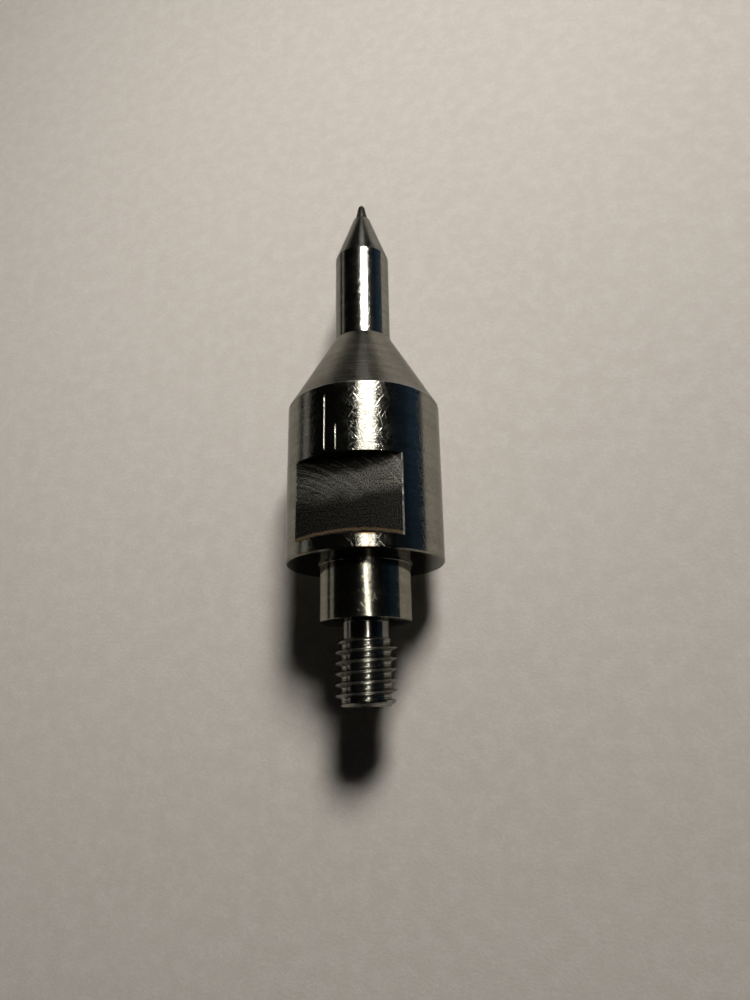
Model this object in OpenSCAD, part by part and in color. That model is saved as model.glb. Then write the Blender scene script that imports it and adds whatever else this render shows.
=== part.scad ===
// Live centre with a slim carbide point and an M6 stud mount.
// The axis lies along Y. The point looks along +Y and the stud along -Y.
// The origin is on the axis, at the rear face of the housing, and the spanner
// flats face up (+Z) and down (-Z). Every piece is drawn along Z, from a place
// on the axis, and on_axis() then turns it on to Y.

/* [Housing] */
// Diameter of the housing
housing_d = 16; // [14:0.5:26]
// Length of the round part, from the rear face to the start of the cone
housing_len = 16.5; // [13.5:0.5:36]
// Whole angle of the housing's cone, in degrees
cone_angle = 60; // [40:5:80]
// Wall left between the spindle's bore and the cone at the nose
nose_rim = 0.14; // [0.1:0.02:0.4]
// Bevel on the rear edge
housing_bevel = 0.15; // [0.1:0.05:0.5]
// Wall left between the front bearing and the cone
cone_wall = 1.2; // [0.8:0.1:2]

/* [Spanner flats] */
// Distance across the two flats
across_flats = 12; // [11:0.5:13]
// Rear face to the start of the flats
flat_start = 1.4; // [0.8:0.1:3]
// Length of the flats along the axis
flat_len = 8; // [5:0.5:11]

/* [Spindle and point] */
// Diameter of the spindle in front of the housing
spindle_d = 6; // [5.8:0.1:6]
// Straight length of the spindle in front of the housing
spindle_reach = 10.6; // [6:0.2:30]
// Whole angle of the spindle's point, in degrees
point_angle = 40; // [30:5:60]
// Diameter of the small face that the carbide stands out of
point_face_d = 1.9; // [1.7:0.1:2.6]
// Diameter of the carbide pin
carbide_d = 1.5; // [1:0.1:1.6]
// Length of carbide that stands out of the spindle
carbide_out = 2.1; // [1.2:0.1:3]
// Radius of the carbide's rounded end
carbide_end_r = 0.4; // [0.1:0.05:0.45]
// Length of carbide held inside the spindle
carbide_held = 4; // [2:0.5:8]

/* [Mounting shank] */
// Diameter of the ground register that locates the centre
register_d = 9.1; // [7:0.1:9.3]
// Length of the register, from the housing's rear face
register_len = 5.7; // [4:0.1:12]
// Length of the thread relief
relief_len = 1.6; // [1:0.1:3]
// Outside diameter of the stud's thread
thread_d = 6; // [5.6:0.1:6.6]
// Pitch of the stud's thread
thread_pitch = 1; // [0.7:0.05:1]
// Length of the stud's thread
thread_len = 6.3; // [4:0.1:16]
// How far the plug's rim stands out past the register, all round
plug_step = 0.2; // [0.1:0.05:0.4]
// Depth that the plug goes into the housing
plug_depth = 5.3; // [3:0.1:7]
// How far the plug's rim stands out of the housing
rim_out = 0.2; // [0.1:0.05:0.4]

/* [Ball bearings] */
// Bore of the two radial bearings
bearing_bore = 5; // [4.8:0.1:5]
// Outside diameter of all three bearings, which is the housing's bore
bearing_od = 9; // [9:0.1:9.2]
// Width of each radial bearing
bearing_w = 3; // [2.6:0.1:4]
// Ball size in the radial bearings
radial_ball_d = 1.2; // [1:0.05:1.2]
// Number of balls in each radial bearing
radial_balls = 9; // [6:1:10]
// Bore of the thrust bearing's front washer
thrust_bore = 4; // [3.6:0.1:4]
// Height of the thrust bearing
thrust_h = 4; // [3.6:0.1:5]
// Ball size in the thrust bearing
thrust_ball_d = 1.5; // [1.3:0.05:1.6]
// Number of balls in the thrust bearing
thrust_balls_n = 8; // [5:1:9]

/* [Small inner pieces] */
// Thickness of the retaining ring
clip_t = 0.6; // [0.4:0.1:0.8]
// Collar of the spindle left between the retaining ring and the thrust bearing
collar_t = 0.5; // [0.4:0.1:1]
// Free height of the disc spring
spring_h = 0.5; // [0.4:0.05:0.7]
// Thickness of the preload shim
shim_t = 0.2; // [0.1:0.05:0.4]
// Width of the nose seal
seal_w = 1; // [0.8:0.1:1.2]
// Thickness of the housing's shoulder, between front bearing and seal
shoulder_t = 0.9; // [0.6:0.1:1.2]

/* [Clearances] */
// Radial gap between the spindle and the housing's nose
nose_gap = 0.06; // [0.03:0.01:0.1]
// Gap between a ball and its groove
race_gap = 0.02; // [0.01:0.005:0.03]
// Gap between turning and standing pieces inside the bearings
inner_gap = 0.1; // [0.06:0.02:0.14]

/* [Hidden] */
$fn = 96;
cut = 0.05; // how far a cutting shape runs past the face it cuts

// Radial bearing: lands of the two rings, either side of the ball circle
ball_circle_r = (bearing_bore + bearing_od) / 4;
land_gap = 0.35; // half the space between the two rings
inner_land_r = ball_circle_r - land_gap;
outer_land_r = ball_circle_r + land_gap;
cage_wall = 2 * (land_gap - inner_gap);
cage_w = radial_ball_d + 0.5;
shield_t = 0.2;
shield_inset = 0.1;
shield_lap = 0.2; // how far a shield sits in the outer ring

// Thrust bearing
thrust_circle_r = (thrust_bore + bearing_od) / 4;
thrust_groove = 0.2; // depth of a ball in its washer
washer_t = (thrust_h - thrust_ball_d) / 2 + thrust_groove;
thrust_cage_t = thrust_h - 2 * washer_t - 4 * inner_gap;

// Places along the axis, from the plug forward
shim_at = plug_depth;
spring_at = shim_at + shim_t;
thrust_at = spring_at + spring_h;
step_at = thrust_at + thrust_h;
clip_at = step_at + collar_t;
rear_bearing_at = clip_at + clip_t;

// Places along the axis, from the cone back
cone_slope = tan(cone_angle / 2);
nose_d = spindle_d + 2 * (nose_gap + nose_rim);
nose_at = housing_len + (housing_d - nose_d) / 2 / cone_slope;
shoulder_at = housing_len
    + (housing_d / 2 - bearing_od / 2 - cone_wall) / cone_slope;
seal_at = shoulder_at + shoulder_t;
front_bearing_at = shoulder_at - bearing_w;
sleeve_from = rear_bearing_at + bearing_w;
sleeve_to = front_bearing_at;

// Bores of the housing's front end
shoulder_d = max(spindle_d + 0.8, 2 * inner_land_r + 0.5);
seal_d = spindle_d + 1.5;
nose_bore_d = spindle_d + 2 * nose_gap;

// Spindle
point_from = nose_at + spindle_reach;
point_to = point_from + (spindle_d - point_face_d) / 2 / tan(point_angle / 2);
tail_from = thrust_at + 0.3;
clip_groove_d = bearing_bore - 0.3;
spindle_bevel = 0.15;

// Carbide: a cone that runs on to its round end without a step
carbide_centre = carbide_out - carbide_end_r;
carbide_half_angle = atan(carbide_d / 2 / carbide_centre)
    - asin(carbide_end_r / norm([carbide_centre, carbide_d / 2]));

// Shank
thread_from = -register_len - relief_len;
thread_to = thread_from - thread_len;
core_r = thread_d / 2 - 0.6134 * thread_pitch;
relief_d = thread_d - 1.5 * thread_pitch;
plug_d = max(bearing_od + 0.1, register_d) + 2 * plug_step;
centre_hole_d = 1.5;
centre_hole_depth = 1.6;

// Thread: four corners to a tooth, each [share of the pitch, share of the depth]
tooth = [[0, 0], [0.354, 1], [0.479, 1], [0.833, 0]];
thread_sides = 36; // corners to a turn
thread_rows = 4 * (ceil(thread_len / thread_pitch) + 1) + 1;
thread_end_r = core_r - 0.05;

// ---- shared shapes ----

module on_axis() {
    rotate([-90, 0, 0]) children();
}

// A plain ring between two places on the axis
module ring(outer_d, inner_d, from, to) {
    translate([0, 0, from])
        difference() {
            cylinder(d = outer_d, h = to - from);
            bore(inner_d, 0, to - from);
        }
}

// A hole between two places on the axis, with run-out at both ends
module bore(d, from, to) {
    translate([0, 0, from - cut])
        cylinder(d = d, h = to - from + 2 * cut);
}

// The same shape, count times round the axis
module round_about(count) {
    for (i = [0 : count - 1])
        rotate([0, 0, 360 / count * i]) children();
}

// The ring-shaped groove that balls run in
module ball_track(circle_r, ball_d, at) {
    translate([0, 0, at])
        rotate_extrude()
            translate([circle_r, 0])
                circle(d = ball_d + 2 * race_gap);
}

// ---- housing and its seal ----

module housing() {
    color("lightsteelblue") on_axis() difference() {
        rotate_extrude() polygon([
            [0, 0],
            [housing_d / 2 - housing_bevel, 0],
            [housing_d / 2, housing_bevel],
            [housing_d / 2, housing_len],
            [nose_d / 2, nose_at],
            [0, nose_at],
        ]);
        bore(plug_d, -cut, plug_depth - cut);
        bore(bearing_od, 0, shoulder_at - cut);
        bore(shoulder_d, 0, seal_at);
        translate([0, 0, seal_at]) cylinder(d = seal_d, h = seal_w);
        bore(nose_bore_d, seal_at, nose_at);
        spanner_flats();
    }
}

module spanner_flats() {
    for (side = [0, 180])
        rotate([0, 0, side])
            translate([-housing_d / 2, across_flats / 2, flat_start])
                cube([housing_d, housing_d / 2, flat_len]);
}

// A rubber ring whose lip wipes the spindle
module nose_seal() {
    lip_r = spindle_d / 2 + race_gap;
    body_r = spindle_d / 2 + 0.3;
    color("dimgray") on_axis()
        translate([0, 0, seal_at])
            rotate_extrude() polygon([
                [body_r, 0],
                [seal_d / 2, 0],
                [seal_d / 2, seal_w],
                [body_r, seal_w],
                [lip_r, seal_w * 0.7],
                [lip_r, seal_w * 0.5],
            ]);
}

// ---- spindle and point ----

module spindle() {
    tail_r = thrust_bore / 2;
    journal_r = bearing_bore / 2;
    body_r = spindle_d / 2;
    hole_from = point_to - carbide_held;
    color("silver") on_axis() difference() {
        rotate_extrude() polygon([
            [0, tail_from],
            [tail_r - spindle_bevel, tail_from],
            [tail_r, tail_from + spindle_bevel],
            [tail_r, step_at],
            [journal_r, step_at],
            [journal_r, clip_at],
            [clip_groove_d / 2, clip_at],
            [clip_groove_d / 2, rear_bearing_at],
            [journal_r, rear_bearing_at],
            [journal_r, shoulder_at],
            [body_r, shoulder_at],
            [body_r, point_from],
            [point_face_d / 2, point_to],
            [0, point_to],
        ]);
        bore(carbide_d, hole_from + cut, point_to);
    }
}

// A pin of carbide held in the spindle, ground to a cone with a round end
module carbide_tip() {
    end_at = point_to + carbide_centre;
    turn_r = carbide_end_r * cos(carbide_half_angle);
    turn_at = end_at + carbide_end_r * sin(carbide_half_angle);
    color("#4a4d52") on_axis() {
        translate([0, 0, point_to - carbide_held])
            cylinder(d = carbide_d, h = carbide_held);
        translate([0, 0, point_to])
            cylinder(r1 = carbide_d / 2, r2 = turn_r, h = turn_at - point_to);
        translate([0, 0, end_at]) sphere(r = carbide_end_r);
    }
}

// ---- mounting shank ----

module mounting_shank() {
    register_bevel = 0.15;
    inside_thread = 0.5;
    color("gainsboro") on_axis() difference() {
        union() {
            rotate_extrude() polygon([
                [0, thread_from - inside_thread],
                [relief_d / 2, thread_from - inside_thread],
                [relief_d / 2, -register_len],
                [register_d / 2 - register_bevel, -register_len],
                [register_d / 2, -register_len + register_bevel],
                [register_d / 2, -rim_out],
                [plug_d / 2, -rim_out],
                [plug_d / 2, plug_depth],
                [0, plug_depth],
            ]);
            threaded_stud();
        }
        centre_hole();
    }
}

// The small centre hole that the shank is turned on
module centre_hole() {
    mouth_d = 2 * centre_hole_d;
    translate([0, 0, thread_to - cut]) {
        cylinder(d = centre_hole_d, h = centre_hole_depth + cut);
        cylinder(d1 = mouth_d, d2 = centre_hole_d,
            h = (mouth_d - centre_hole_d) / 2 / tan(30));
    }
}

// How far out the thread may reach at a place on the axis: both ends bevel
function thread_limit(at) = min(
    core_r + thread_from - at,
    thread_end_r + at - thread_to
);

// A corner of the thread: side i round the axis, row k along it. The rows wind
// back one pitch a turn, as a right-hand thread does, and those past an end
// gather on the end face's rim.
function thread_corner(i, k) =
    let (
        along = floor(k / 4) + tooth[k % 4][0] + i / thread_sides - 1,
        at = max(thread_to, min(thread_from, thread_from - thread_pitch * along)),
        reach = core_r + tooth[k % 4][1] * (thread_d / 2 - core_r),
        r = min(reach, thread_limit(at)),
        turn = -360 * i / thread_sides
    )
    [r * cos(turn), r * sin(turn), at];

// The last side of a turn is the first side of the next, four rows on
function thread_index(i, k) =
    i < thread_sides ? i * (thread_rows + 4) + k : k + 4;

module threaded_stud() {
    corners = [
        for (i = [0 : thread_sides - 1])
            for (k = [0 : thread_rows + 3]) thread_corner(i, k)
    ];
    last = thread_rows - 1;
    faces = [
        [for (i = [0 : thread_sides - 1]) thread_index(i, 0)],
        [for (i = [thread_sides - 1 : -1 : 0]) thread_index(i, last)],
        for (i = [0 : thread_sides - 1])
            for (k = [0 : last - 1])
                let (
                    a = thread_index(i, k),
                    b = thread_index(i + 1, k),
                    c = thread_index(i + 1, k + 1),
                    d = thread_index(i, k + 1)
                )
                for (face = [[a, d, c], [a, c, b]])
                    if (has_area([for (v = face) corners[v]])) face,
    ];
    polyhedron(corners, faces, convexity = 12);
}

function has_area(p) = norm(cross(p[1] - p[0], p[2] - p[0])) > 1e-6;

// ---- radial ball bearings: the same pieces at two places ----

module outer_ring(at) {
    seat_d = 2 * (outer_land_r + shield_lap);
    seat = shield_inset + shield_t;
    color("lightgray") on_axis() difference() {
        ring(bearing_od, 2 * outer_land_r, at, at + bearing_w);
        ball_track(ball_circle_r, radial_ball_d, at + bearing_w / 2);
        bore(seat_d, at, at + seat - cut);
        bore(seat_d, at + bearing_w - seat + cut, at + bearing_w);
    }
}

module inner_ring(at) {
    color("lightgray") on_axis() difference() {
        ring(2 * inner_land_r, bearing_bore, at, at + bearing_w);
        ball_track(ball_circle_r, radial_ball_d, at + bearing_w / 2);
    }
}

module radial_ball_set(at) {
    color("white") on_axis()
        round_about(radial_balls)
            translate([ball_circle_r, 0, at + bearing_w / 2])
                sphere(d = radial_ball_d);
}

module radial_cage(at) {
    middle = at + bearing_w / 2;
    color("darkgoldenrod") on_axis() difference() {
        ring(2 * ball_circle_r + cage_wall, 2 * ball_circle_r - cage_wall,
            middle - cage_w / 2, middle + cage_w / 2);
        round_about(radial_balls)
            translate([ball_circle_r - cage_wall, 0, middle])
                rotate([0, 90, 0])
                    cylinder(d = radial_ball_d + 2 * race_gap, h = 2 * cage_wall);
    }
}

module shield(from) {
    color("darkgray") on_axis()
        ring(2 * (outer_land_r + shield_lap), 2 * (inner_land_r + inner_gap),
            from, from + shield_t);
}

module front_bearing_outer_ring() {
    outer_ring(front_bearing_at);
}

module front_bearing_inner_ring() {
    inner_ring(front_bearing_at);
}

module front_bearing_balls() {
    radial_ball_set(front_bearing_at);
}

module front_bearing_cage() {
    radial_cage(front_bearing_at);
}

module front_bearing_front_shield() {
    shield(front_bearing_at + bearing_w - shield_inset - shield_t);
}

module front_bearing_rear_shield() {
    shield(front_bearing_at + shield_inset);
}

module rear_bearing_outer_ring() {
    outer_ring(rear_bearing_at);
}

module rear_bearing_inner_ring() {
    inner_ring(rear_bearing_at);
}

module rear_bearing_balls() {
    radial_ball_set(rear_bearing_at);
}

module rear_bearing_cage() {
    radial_cage(rear_bearing_at);
}

module rear_bearing_front_shield() {
    shield(rear_bearing_at + bearing_w - shield_inset - shield_t);
}

module rear_bearing_rear_shield() {
    shield(rear_bearing_at + shield_inset);
}

// ---- sleeves and retaining ring ----

module outer_spacer_sleeve() {
    color("slategray") on_axis()
        ring(bearing_od, 2 * outer_land_r + 0.2, sleeve_from, sleeve_to);
}

module inner_spacer_sleeve() {
    color("slategray") on_axis()
        ring(2 * inner_land_r - 0.1, bearing_bore, sleeve_from, sleeve_to);
}

// An open spring ring in the spindle's groove
module retaining_ring() {
    clip_d = clip_groove_d + 1.8;
    mouth = 1.6;
    color("dimgray") on_axis() difference() {
        ring(clip_d, clip_groove_d, clip_at, rear_bearing_at);
        translate([0, -mouth / 2, clip_at - cut])
            cube([clip_d, mouth, clip_t + 2 * cut]);
    }
}

// ---- thrust bearing ----

module thrust_front_washer() {
    color("lightgray") on_axis() difference() {
        ring(bearing_od - 2 * inner_gap, thrust_bore,
            step_at - washer_t, step_at);
        ball_track(thrust_circle_r, thrust_ball_d, thrust_at + thrust_h / 2);
    }
}

module thrust_rear_washer() {
    color("lightgray") on_axis() difference() {
        ring(bearing_od, thrust_bore + 2 * inner_gap,
            thrust_at, thrust_at + washer_t);
        ball_track(thrust_circle_r, thrust_ball_d, thrust_at + thrust_h / 2);
    }
}

module thrust_balls() {
    color("white") on_axis()
        round_about(thrust_balls_n)
            translate([thrust_circle_r, 0, thrust_at + thrust_h / 2])
                sphere(d = thrust_ball_d);
}

module thrust_cage() {
    middle = thrust_at + thrust_h / 2;
    color("darkgoldenrod") on_axis() difference() {
        ring(bearing_od - 4 * inner_gap, thrust_bore + 4 * inner_gap,
            middle - thrust_cage_t / 2, middle + thrust_cage_t / 2);
        round_about(thrust_balls_n)
            translate([thrust_circle_r, 0, middle])
                sphere(d = thrust_ball_d + 2 * race_gap);
    }
}

// ---- preload ----

// A dished spring washer between the thrust bearing and the shim
module disc_spring() {
    spring_t = spring_h * 0.6;
    inner_r = thrust_bore / 2 + 3 * inner_gap;
    outer_r = bearing_od / 2 - inner_gap;
    color("steelblue") on_axis()
        translate([0, 0, spring_at])
            rotate_extrude() polygon([
                [inner_r, 0],
                [inner_r, spring_t],
                [outer_r, spring_h],
                [outer_r, spring_h - spring_t],
            ]);
}

module preload_shim() {
    color("tan") on_axis()
        ring(bearing_od - 2 * inner_gap, thrust_bore + 6 * inner_gap,
            shim_at, spring_at);
}

housing();
spindle();
carbide_tip();
mounting_shank();
nose_seal();
front_bearing_outer_ring();
front_bearing_inner_ring();
front_bearing_balls();
front_bearing_cage();
front_bearing_front_shield();
front_bearing_rear_shield();
outer_spacer_sleeve();
inner_spacer_sleeve();
rear_bearing_outer_ring();
rear_bearing_inner_ring();
rear_bearing_balls();
rear_bearing_cage();
rear_bearing_front_shield();
rear_bearing_rear_shield();
retaining_ring();
thrust_front_washer();
thrust_balls();
thrust_cage();
thrust_rear_washer();
disc_spring();
preload_shim();
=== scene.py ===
import math

import bmesh
import bpy
from mathutils import Matrix, Vector, noise


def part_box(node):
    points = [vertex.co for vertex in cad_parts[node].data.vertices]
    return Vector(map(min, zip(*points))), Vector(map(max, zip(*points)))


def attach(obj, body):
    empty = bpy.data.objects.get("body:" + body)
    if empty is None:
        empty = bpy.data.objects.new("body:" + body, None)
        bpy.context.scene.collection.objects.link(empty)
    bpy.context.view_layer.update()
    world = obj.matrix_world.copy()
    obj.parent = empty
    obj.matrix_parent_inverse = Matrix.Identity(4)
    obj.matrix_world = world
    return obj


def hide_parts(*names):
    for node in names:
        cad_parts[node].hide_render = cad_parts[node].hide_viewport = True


# A small live centre, lying on a sheet of pale paper. The axis runs along Y, the point looks
# along +Y and a spanner flat faces up (+Z). The four outside pieces are made here in fine
# mesh; the bearings, seal and springs inside are the frame's own, with finishes.
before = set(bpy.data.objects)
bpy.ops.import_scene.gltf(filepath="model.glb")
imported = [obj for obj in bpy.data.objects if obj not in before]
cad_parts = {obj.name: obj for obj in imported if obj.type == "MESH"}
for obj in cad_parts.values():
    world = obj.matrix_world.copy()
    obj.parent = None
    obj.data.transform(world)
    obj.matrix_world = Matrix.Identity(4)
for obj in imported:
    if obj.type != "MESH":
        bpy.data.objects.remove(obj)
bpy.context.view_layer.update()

MM = 0.001  # sizes below are millimetres


# ---- sizes, from the frame where it tells them ----

def reach(node_name):
    """Radius, rear end and front end of a round node, in millimetres."""
    low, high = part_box(node_name)
    return high.x / MM, low.y / MM, high.y / MM


HOUSING_R, REAR_FACE, NOSE_AT = reach("housing")
SPINDLE_R, SPINDLE_TAIL, POINT_FACE_AT = reach("spindle")
CARBIDE_R, CARBIDE_REAR, CARBIDE_END = reach("carbide_tip")
PLUG_R, STUD_END, PLUG_END = reach("mounting_shank")
BEARING_R, _, SHOULDER_AT = reach("front_bearing_outer_ring")
SEAL_R, SEAL_AT, SEAL_END = reach("nose_seal")
CLIP_AT, REAR_BEARING_AT = reach("retaining_ring")[1:]

CONE_AT = 16.5         # where the housing's cone starts
NOSE_R = 3.2           # small end of the cone
NOSE_BORE_R = 3.06
SHOULDER_R = 3.4
REAR_BEVEL = 0.15
EDGE_BREAK = 0.05      # the small break on every turned corner
FLAT_FROM, FLAT_TO = 1.4, 9.4
FLAT_Z = 6.0
FLAT_EDGE = math.acos(FLAT_Z / HOUSING_R)  # turn from +Z or -Z to a flat's edge
LIP_TURN = math.radians(0.55)  # half the width of the burr along a flat's edge, as a turn
LIP_HEIGHT = 0.085
LIP_FADE = 0.4         # length over which the burr runs out at a flat's end
HOUSING_SIDES = 240
FLAT_ROWS = 96

POINT_FROM = 35.414    # where the spindle's cone starts
POINT_FACE_R = 0.95
JOURNAL_R = 2.5
TAIL_R = 2.0
CLIP_GROOVE_R = 2.35
COLLAR_AT = 10.0
CARBIDE_ROUND_R = 0.4

REGISTER_R = 4.55
REGISTER_END = -5.7
RIM_AT = -0.2
RELIEF_R = 2.25
THREAD_FROM = -7.3
THREAD_R = 3.0
THREAD_PITCH = 1.0
THREAD_CORE_R = 2.3866
CENTRE_HOLE_R = 0.75
CENTRE_HOLE_DEPTH = 1.6
STUD_END_STEP = 0.05   # how far inside the thread's core the end face stops
THREAD_PHASE = 0.38    # where round the stud the thread starts, as a share of a turn
WORN_FROM = 0.8        # share of the thread's depth above which it is nicked and worn
CREST_FROM = 0.9       # share of the thread's depth from which a face counts as crest
SHANK_SIDES = 180

FLOOR_Z = -HOUSING_R


# ---- mesh helpers ----

def spot(x, y, z):
    return Vector((x, y, z)) * MM


def round_spot(r, y, turn):
    """A point r from the axis, turned from +Z towards +X."""
    return spot(r * math.sin(turn), y, r * math.cos(turn))


def join_up(name, points, faces, kinds, finishes):
    """A closed mesh piece. kinds gives each face's place in the list of finishes."""
    mesh = bpy.data.meshes.new(name)
    mesh.from_pydata(points, [], faces)
    for finish in finishes:
        mesh.materials.append(finish)
    mesh.polygons.foreach_set("material_index", kinds)
    tidy = bmesh.new()
    tidy.from_mesh(mesh)
    bmesh.ops.remove_doubles(tidy, verts=tidy.verts, dist=0.0004 * MM)
    bmesh.ops.recalc_face_normals(tidy, faces=tidy.faces)
    tidy.to_mesh(mesh)
    tidy.free()
    mesh.polygons.foreach_set("use_smooth", [True] * len(mesh.polygons))
    mesh.set_sharp_from_angle(angle=math.radians(24))
    piece = bpy.data.objects.new(name, mesh)
    bpy.context.scene.collection.objects.link(piece)
    weigh = piece.modifiers.new("even_faces", "WEIGHTED_NORMAL")
    weigh.keep_sharp = True
    return piece


def stands_for(piece, node_name, body):
    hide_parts(node_name)
    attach(piece, body)


def wrap(rows, turns, place):
    """Points and faces of a skin of rows round the axis: place(row, turn) gives each point."""
    points = [place(row, turn) for row in rows for turn in turns]
    count = len(turns)
    faces = []
    for i in range(len(rows) - 1):
        for j in range(count):
            k = (j + 1) % count
            faces.append((i * count + j, i * count + k, (i + 1) * count + k, (i + 1) * count + j))
    return points, faces


def even_turns(count):
    return [2 * math.pi * i / count for i in range(count)]


def broken(outline, size=EDGE_BREAK, steps=3):
    """The outline with its corners rounded. A corner is (r, y, kind) or (r, y, kind, size)."""
    out = []
    for i, corner in enumerate(outline):
        r, y, kind = corner[:3]
        round_size = corner[3] if len(corner) > 3 else size
        here = Vector((r, y))
        before = Vector(outline[i - 1][:2])
        after = Vector(outline[(i + 1) % len(outline)][:2])
        to_before, to_after = before - here, after - here
        ends = i in (0, len(outline) - 1)
        if ends or round_size == 0 or min(to_before.length, to_after.length) < 2.1 * round_size:
            out.append((r, y, kind))
            continue
        start = here + to_before.normalized() * round_size
        finish = here + to_after.normalized() * round_size
        for step in range(steps + 1):
            t = step / steps
            p = start * (1 - t) ** 2 + here * 2 * t * (1 - t) + finish * t ** 2
            out.append((p.x, p.y, kind))
    return out


def turned_piece(name, outline, finishes, sides=256):
    """A lathe-turned solid. Each outline point's kind names the finish of the face after it."""
    turns = even_turns(sides)
    points, faces = wrap(outline, turns, lambda row, turn: round_spot(row[0], row[1], turn))
    kinds = [row[2] for row in outline[:-1] for _ in turns]
    return join_up(name, points, faces, kinds, finishes)


# ---- shader helpers ----

class Sheet:
    """A node tree with short ways to add to it."""

    def __init__(self, tree):
        self.tree = tree

    def add(self, kind, inputs=None, **settings):
        made = self.tree.nodes.new(kind)
        for key, value in settings.items():
            setattr(made, key, value)
        for key, value in (inputs or {}).items():
            self.put(value, made.inputs[key])
        return made

    def put(self, value, socket):
        """Sets a socket to a number or colour, or links another node's socket to it."""
        if isinstance(value, bpy.types.NodeSocket):
            self.tree.links.new(value, socket)
        else:
            socket.default_value = value

    def sum(self, operation, a, b=0.0, c=0.0, clamp=False):
        made = self.add("ShaderNodeMath", {0: a, 1: b, 2: c}, operation=operation, use_clamp=clamp)
        return made.outputs[0]

    def vector(self, operation, a, b=(0.0, 0.0, 0.0)):
        return self.add("ShaderNodeVectorMath", {0: a, 1: b}, operation=operation).outputs[0]

    def noise(self, vector, scale=1.0, detail=2.0, roughness=0.5, distortion=0.0):
        made = self.add(
            "ShaderNodeTexNoise",
            {"Vector": vector, "Scale": scale, "Detail": detail, "Roughness": roughness,
             "Distortion": distortion},
        )
        return made.outputs[0]

    def between(self, value, low, high, to_low=0.0, to_high=1.0):
        """value moved from low..high to to_low..to_high, smoothly and no further."""
        made = self.add(
            "ShaderNodeMapRange",
            {0: value, 1: low, 2: high, 3: to_low, 4: to_high},
            interpolation_type="SMOOTHSTEP",
        )
        return made.outputs[0]

    def colours(self, factor, a, b):
        made = self.add("ShaderNodeMix", data_type="RGBA")
        self.put(factor, made.inputs[0])
        self.put(a, made.inputs[6])
        self.put(b, made.inputs[7])
        return made.outputs[2]

    def xyz(self, x=0.0, y=0.0, z=0.0):
        return self.add("ShaderNodeCombineXYZ", {0: x, 1: y, 2: z}).outputs[0]

    def group(self, name, **inputs):
        made = self.add("ShaderNodeGroup", node_tree=bpy.data.node_groups[name])
        for key, value in inputs.items():
            self.put(value, made.inputs[key.replace("_", " ")])
        return made.outputs


def new_group(name, inputs, outputs):
    """An empty node group: inputs are {name: start value}, outputs are {name: kind of socket}."""
    tree = bpy.data.node_groups.new(name, "ShaderNodeTree")
    for label, start in inputs.items():
        kind = "NodeSocketVector" if isinstance(start, tuple) else "NodeSocketFloat"
        tree.interface.new_socket(label, in_out="INPUT", socket_type=kind).default_value = start
    for label, kind in outputs.items():
        tree.interface.new_socket(label, in_out="OUTPUT", socket_type=kind)
    sheet = Sheet(tree)
    return sheet, sheet.add("NodeGroupInput").outputs, sheet.add("NodeGroupOutput").inputs


VALUE, ARROW = "NodeSocketFloat", "NodeSocketVector"


def group_place():
    """Where a point is on a turned piece, in millimetres."""
    sheet, _, out = new_group(
        "place_on_turned_piece", {}, {"Point": ARROW, "Unrolled": ARROW, "Along": VALUE, "Out": VALUE}
    )
    point = sheet.vector(
        "MULTIPLY", sheet.add("ShaderNodeTexCoord").outputs["Object"], (1 / MM,) * 3
    )
    split = sheet.add("ShaderNodeSeparateXYZ", {0: point}).outputs
    flat = sheet.vector("MULTIPLY", point, (1.0, 0.0, 1.0))
    out_by = sheet.add("ShaderNodeVectorMath", {0: flat}, operation="LENGTH").outputs["Value"]
    turn = sheet.sum("ARCTAN2", split[0], split[2])
    sheet.put(point, out["Point"])
    sheet.put(sheet.xyz(sheet.sum("MULTIPLY", turn, out_by), split[1], out_by), out["Unrolled"])
    sheet.put(split[1], out["Along"])
    sheet.put(out_by, out["Out"])


def group_turned_lines():
    """Fine rings left by a lathe tool or a grinding wheel."""
    sheet, given, out = new_group(
        "turned_lines", {"Point": (0.0, 0.0, 0.0), "Lines": 12.0, "Waver": 0.12},
        {"Height": VALUE, "Streaks": VALUE},
    )
    stretch = sheet.xyz(given["Waver"], given["Lines"], given["Waver"])
    fine = sheet.noise(sheet.vector("MULTIPLY", given["Point"], stretch), detail=3.0, roughness=0.7)
    broad_stretch = sheet.vector("MULTIPLY", stretch, (0.6, 0.16, 0.6))
    broad = sheet.noise(sheet.vector("MULTIPLY", given["Point"], broad_stretch), detail=2.0)
    sheet.put(sheet.sum("MULTIPLY_ADD", broad, 0.8, fine), out["Height"])
    sheet.put(sheet.between(broad, 0.35, 0.65), out["Streaks"])


def group_scratches():
    """Short straight hair scratches that run at an angle, in patches."""
    sheet, given, out = new_group(
        "hair_scratches",
        {"Unrolled": (0.0, 0.0, 0.0), "Angle": 0.8, "Spacing": 0.1, "Length": 1.5, "Share": 0.4,
         "Seed": 0.0},
        {"Scratches": VALUE},
    )
    turned = sheet.add(
        "ShaderNodeVectorRotate", {"Vector": given["Unrolled"], "Angle": given["Angle"]},
        rotation_type="Z_AXIS",
    ).outputs[0]
    shrink = sheet.xyz(
        sheet.sum("DIVIDE", 1.0, given["Length"]), sheet.sum("DIVIDE", 1.0, given["Spacing"])
    )
    shifted = sheet.vector(
        "ADD", sheet.vector("MULTIPLY", turned, shrink), sheet.xyz(given["Seed"], given["Seed"])
    )
    lines = sheet.noise(shifted, detail=0.0)
    line = sheet.between(lines, 0.58, 0.74)
    patches = sheet.noise(sheet.vector("MULTIPLY", shifted, (0.8, 0.08, 1.0)), detail=2.0)
    bar = sheet.sum("SUBTRACT", 1.0, given["Share"])
    kept = sheet.between(patches, sheet.sum("MULTIPLY", bar, 0.7), sheet.sum("MULTIPLY", bar, 0.95))
    sheet.put(sheet.sum("MULTIPLY", line, kept), out["Scratches"])


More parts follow.
